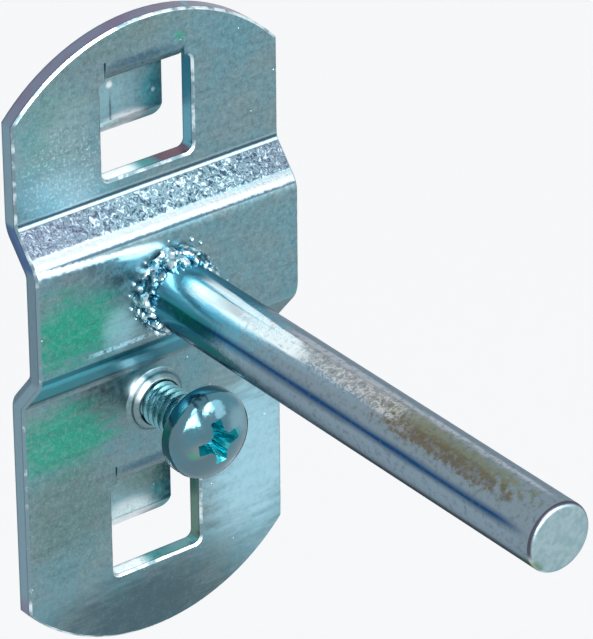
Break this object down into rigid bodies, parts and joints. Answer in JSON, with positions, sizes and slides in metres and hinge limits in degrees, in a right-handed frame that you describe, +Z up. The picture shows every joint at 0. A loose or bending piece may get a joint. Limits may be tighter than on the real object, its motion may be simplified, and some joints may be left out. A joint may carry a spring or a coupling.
{
  "type": "perforated panel tool holder",
  "caption": "Zinc-plated steel tool holder for a perforated panel: stamped plate with lanced hook tongues, a welded straight round rod and a locking screw in a tapped collar.",
  "frame": {"origin": "where the upper hook's root crosses the panel's front face, at mid width", "axes": "+X right and +Z up as seen from the front; the rod points to -Y and the panel lies behind the plane Y = 0"},
  "size_m": [0.0266, 0.0577, 0.0584],
  "materials": {
    "plate_zinc": "blue-clear zinc plating on rolled sheet",
    "rod_zinc": "bright zinc plating on drawn bar",
    "weld_zinc": "zinc plating on a rough weld",
    "screw_zinc": "blue zinc plating on a formed screw"
  },
  "bodies": {
    "holder": {"mounting_plate": "plate_zinc", "rod": "rod_zinc", "weld_bead": "weld_zinc"},
    "screw": {"locking_screw": "screw_zinc"}
  },
  "joints": [
    {"name": "screw_advance", "type": "slide", "parent": "holder", "child": "screw", "axis": [0, 1, 0], "range_m": [-0.002, 0.0053]}
  ]
}
